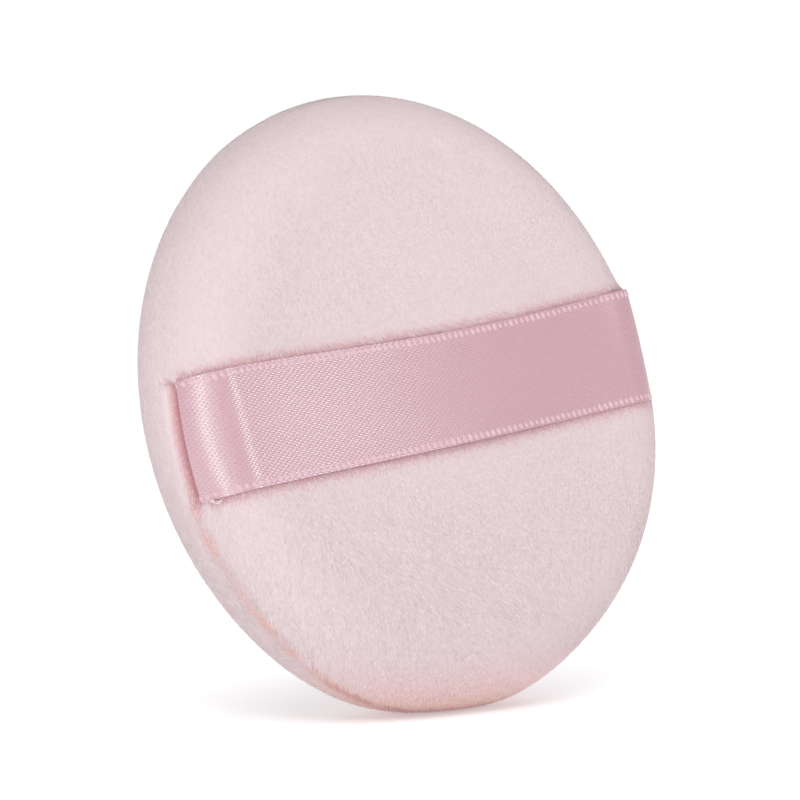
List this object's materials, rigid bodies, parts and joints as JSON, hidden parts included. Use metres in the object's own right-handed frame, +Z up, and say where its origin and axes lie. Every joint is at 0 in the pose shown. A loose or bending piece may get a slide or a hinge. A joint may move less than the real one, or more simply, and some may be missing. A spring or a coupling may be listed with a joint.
{
  "type": "powder puff",
  "caption": "Round crowned velour powder puff with a soft foam core, a sewn rim seam and a flat satin ribbon strap across its front for the fingers.",
  "frame": {"origin": "on the surface it stands on, under the middle of the standing puff", "axes": "+Z up; the ribbon side faces -Y and leans back, so the powder side faces +Y and a little down; the ribbon runs along X and rises towards +X"},
  "size_m": [0.08, 0.0322, 0.0772],
  "materials": {
    "velour": "short soft pile, pale pink, matt with a light bloom at the edges",
    "satin_ribbon": "pink satin with a soft gloss along its length and a beaded selvedge",
    "foam": "open-cell foam, off-white, matt",
    "thread": "spun sewing thread, pale pink"
  },
  "bodies": {
    "cushion": {"front_cover": "velour", "back_cover": "velour", "foam_core": "foam", "ribbon_tail_left": "satin_ribbon", "ribbon_tail_right": "satin_ribbon", "seam_needle_thread": "thread", "seam_bobbin_thread": "thread", "closing_thread": "thread"},
    "strap": {"ribbon_strap": "satin_ribbon"}
  },
  "joints": [
    {"name": "strap_lift", "type": "slide", "parent": "cushion", "child": "strap", "axis": [0, -0.9664, 0.2571], "range_m": [0, 0.01], "stiffness_N_per_m": 60}
  ]
}
